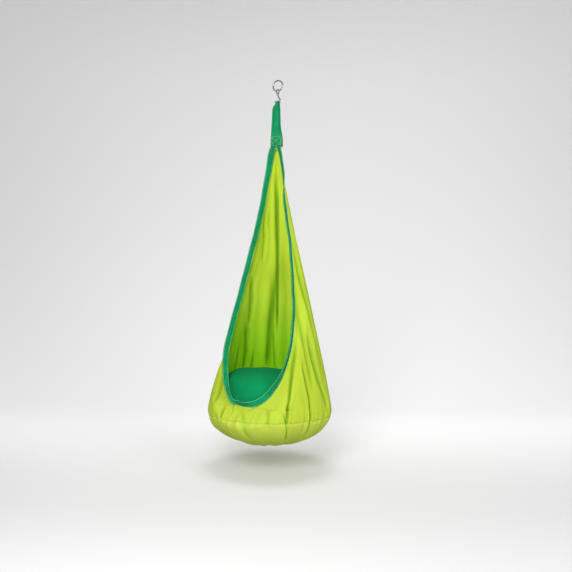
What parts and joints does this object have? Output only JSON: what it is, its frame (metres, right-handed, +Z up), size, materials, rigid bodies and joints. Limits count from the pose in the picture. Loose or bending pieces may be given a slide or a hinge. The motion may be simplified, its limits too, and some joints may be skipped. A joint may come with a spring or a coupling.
{
  "type": "hanging pod seat",
  "caption": "Child's hanging pod seat: a cloth cone with a taped front opening and round cushion, on a webbing loop, hook and swivel eye.",
  "frame": {"origin": "inside top of the round eye, where the support it hangs on bears", "axes": "+Z up along the swivel's axis; the pod's opening faces -Y; +X is to the right of someone looking in at the opening"},
  "size_m": [0.5256, 0.5197, 1.569],
  "materials": {
    "steel": "bright zinc-plated steel wire, slightly dulled",
    "green_webbing": "ribbed polyester webbing tape with pale stitching",
    "lime_cotton": "plain woven cotton, soft folds",
    "lime_cotton_base": "plain woven cotton, taut over the cushion",
    "green_cotton": "fine woven cotton, drawn smooth over the cushion",
    "clear_vinyl": "thin soft vinyl",
    "zip_tape": "woven zip tape with moulded coil",
    "zip_metal": "die-cast slider"
  },
  "bodies": {
    "eye": {"swivel_eye": "steel"},
    "hook": {"swivel_hook": "steel", "swivel_washer": "steel"},
    "pod": {"hanging_loop": "green_webbing", "left_edge_binding": "green_webbing", "right_edge_binding": "green_webbing", "front_rim_binding": "green_webbing", "top_gather": "lime_cotton", "left_side_panel": "lime_cotton", "right_side_panel": "lime_cotton", "back_left_panel": "lime_cotton", "back_right_panel": "lime_cotton", "front_apron": "lime_cotton", "base_panel": "lime_cotton_base", "cushion_cover_top": "green_cotton", "cushion_cover_base": "green_cotton", "air_bladder": "clear_vinyl", "valve_stem": "clear_vinyl", "valve_plug": "clear_vinyl", "cushion_zip": "zip_tape"},
    "slider": {"zip_slider": "zip_metal"}
  },
  "joints": [
    {"name": "swivel", "type": "hinge", "parent": "eye", "child": "hook", "pos_m": [0, 0, -0.045], "axis": [0, 0, 1], "continuous": true},
    {"name": "pod_swing", "type": "hinge", "parent": "hook", "child": "pod", "pos_m": [0, 0, -0.094], "axis": [1, 0, 0], "range_deg": [-30, 30]},
    {"name": "zip_travel", "type": "hinge", "parent": "pod", "child": "slider", "pos_m": [0, -0.02902, -1.42], "axis": [0, 0, 1], "range_deg": [-92, 0]}
  ]
}
